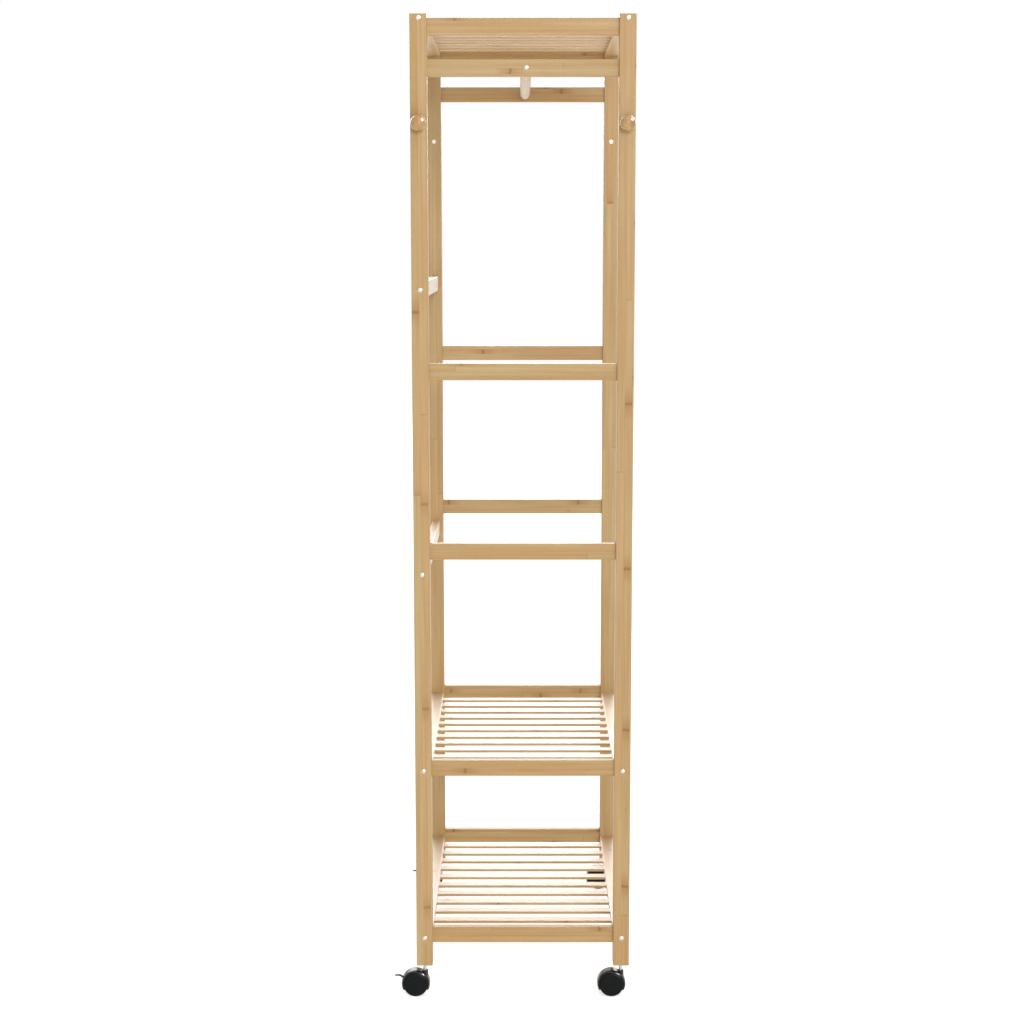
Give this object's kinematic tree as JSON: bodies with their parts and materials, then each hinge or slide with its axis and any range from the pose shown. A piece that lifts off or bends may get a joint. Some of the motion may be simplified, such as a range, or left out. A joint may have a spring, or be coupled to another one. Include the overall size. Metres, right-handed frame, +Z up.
{
  "type": "rolling utility cart",
  "caption": "Tall narrow rolling cart in pale bamboo: posts and end rails carry slatted shelves, side rails, a hanging rod, ball pegs and braked swivel casters.",
  "frame": {"origin": "on the floor, midway between the four posts", "axes": "+Z up, X across the cart's width with -X the side of the guard rails and brake levers, Y along its length with -Y the end seen first"},
  "size_m": [0.4422, 0.66, 1.812],
  "materials": {
    "bamboo": "clear satin lacquer over laminated bamboo strips",
    "dowel_wood": "raw, glued in",
    "bright_screws": "bright zinc",
    "zinc_steel": "zinc plated",
    "caster_black": "glossy moulded nylon",
    "wheel_black": "satin moulded nylon"
  },
  "bodies": {
    "frame": {"post_front_left": "bamboo", "post_front_right": "bamboo", "post_rear_left": "bamboo", "post_rear_right": "bamboo", "rim_rail_front": "bamboo", "rim_rail_rear": "bamboo", "rod_rail_front": "bamboo", "rod_rail_rear": "bamboo", "upper_rail_front": "bamboo", "upper_rail_rear": "bamboo", "middle_rail_front": "bamboo", "middle_rail_rear": "bamboo", "shelf_rail_front": "bamboo", "shelf_rail_rear": "bamboo", "base_rail_front": "bamboo", "base_rail_rear": "bamboo", "top_side_rail_left": "bamboo", "top_side_rail_right": "bamboo", "shelf_side_rail_left": "bamboo", "shelf_side_rail_right": "bamboo", "base_side_rail_left": "bamboo", "base_side_rail_right": "bamboo", "upper_guard_rail": "bamboo", "lower_guard_rail": "bamboo", "top_slats": "bamboo", "shelf_slats": "bamboo", "base_slats": "bamboo", "hanging_rod": "bamboo", "knob_front_left": "bamboo", "knob_front_right": "bamboo", "knob_rear_left": "bamboo", "knob_rear_right": "bamboo", "rail_dowels": "dowel_wood", "knob_screws": "bright_screws", "frame_bolts": "bright_screws", "barrel_nuts": "zinc_steel", "rod_bolts": "bright_screws", "caster_inserts": "zinc_steel", "caster_stems": "zinc_steel"},
    "caster_front_left": {"caster_housing_front_left": "caster_black", "axle_front_left": "zinc_steel", "brake_pin_front": "zinc_steel"},
    "wheel_front_left_a": {"wheel_front_left_a": "wheel_black"},
    "wheel_front_left_b": {"wheel_front_left_b": "wheel_black"},
    "brake_lever_front": {"brake_lever_front": "caster_black"},
    "caster_front_right": {"caster_housing_front_right": "caster_black", "axle_front_right": "zinc_steel"},
    "wheel_front_right_a": {"wheel_front_right_a": "wheel_black"},
    "wheel_front_right_b": {"wheel_front_right_b": "wheel_black"},
    "caster_rear_left": {"caster_housing_rear_left": "caster_black", "axle_rear_left": "zinc_steel", "brake_pin_rear": "zinc_steel"},
    "wheel_rear_left_a": {"wheel_rear_left_a": "wheel_black"},
    "wheel_rear_left_b": {"wheel_rear_left_b": "wheel_black"},
    "brake_lever_rear": {"brake_lever_rear": "caster_black"},
    "caster_rear_right": {"caster_housing_rear_right": "caster_black", "axle_rear_right": "zinc_steel"},
    "wheel_rear_right_a": {"wheel_rear_right_a": "wheel_black"},
    "wheel_rear_right_b": {"wheel_rear_right_b": "wheel_black"}
  },
  "joints": [
    {"name": "front_left_swivel", "type": "hinge", "parent": "frame", "child": "caster_front_left", "pos_m": [-0.185, -0.285, 0.045], "axis": [0, 0, 1], "continuous": true},
    {"name": "front_left_wheel_a_spin", "type": "hinge", "parent": "caster_front_left", "child": "wheel_front_left_a", "pos_m": [-0.2025, -0.2945, 0.023], "axis": [0, 1, 0], "continuous": true},
    {"name": "front_left_wheel_b_spin", "type": "hinge", "parent": "caster_front_left", "child": "wheel_front_left_b", "pos_m": [-0.2025, -0.2755, 0.023], "axis": [0, 1, 0], "continuous": true},
    {"name": "front_brake_press", "type": "hinge", "parent": "caster_front_left", "child": "brake_lever_front", "pos_m": [-0.2171, -0.285, 0.0352], "axis": [0, -1, 0], "range_deg": [0, 10]},
    {"name": "front_right_swivel", "type": "hinge", "parent": "frame", "child": "caster_front_right", "pos_m": [0.185, -0.285, 0.045], "axis": [0, 0, 1], "continuous": true},
    {"name": "front_right_wheel_a_spin", "type": "hinge", "parent": "caster_front_right", "child": "wheel_front_right_a", "pos_m": [0.1675, -0.2945, 0.023], "axis": [0, 1, 0], "continuous": true},
    {"name": "front_right_wheel_b_spin", "type": "hinge", "parent": "caster_front_right", "child": "wheel_front_right_b", "pos_m": [0.1675, -0.2755, 0.023], "axis": [0, 1, 0], "continuous": true},
    {"name": "rear_left_swivel", "type": "hinge", "parent": "frame", "child": "caster_rear_left", "pos_m": [-0.185, 0.285, 0.045], "axis": [0, 0, 1], "continuous": true},
    {"name": "rear_left_wheel_a_spin", "type": "hinge", "parent": "caster_rear_left", "child": "wheel_rear_left_a", "pos_m": [-0.2025, 0.2755, 0.023], "axis": [0, 1, 0], "continuous": true},
    {"name": "rear_left_wheel_b_spin", "type": "hinge", "parent": "caster_rear_left", "child": "wheel_rear_left_b", "pos_m": [-0.2025, 0.2945, 0.023], "axis": [0, 1, 0], "continuous": true},
    {"name": "rear_brake_press", "type": "hinge", "parent": "caster_rear_left", "child": "brake_lever_rear", "pos_m": [-0.2171, 0.285, 0.0352], "axis": [0, -1, 0], "range_deg": [0, 10]},
    {"name": "rear_right_swivel", "type": "hinge", "parent": "frame", "child": "caster_rear_right", "pos_m": [0.185, 0.285, 0.045], "axis": [0, 0, 1], "continuous": true},
    {"name": "rear_right_wheel_a_spin", "type": "hinge", "parent": "caster_rear_right", "child": "wheel_rear_right_a", "pos_m": [0.1675, 0.2755, 0.023], "axis": [0, 1, 0], "continuous": true},
    {"name": "rear_right_wheel_b_spin", "type": "hinge", "parent": "caster_rear_right", "child": "wheel_rear_right_b", "pos_m": [0.1675, 0.2945, 0.023], "axis": [0, 1, 0], "continuous": true}
  ]
}
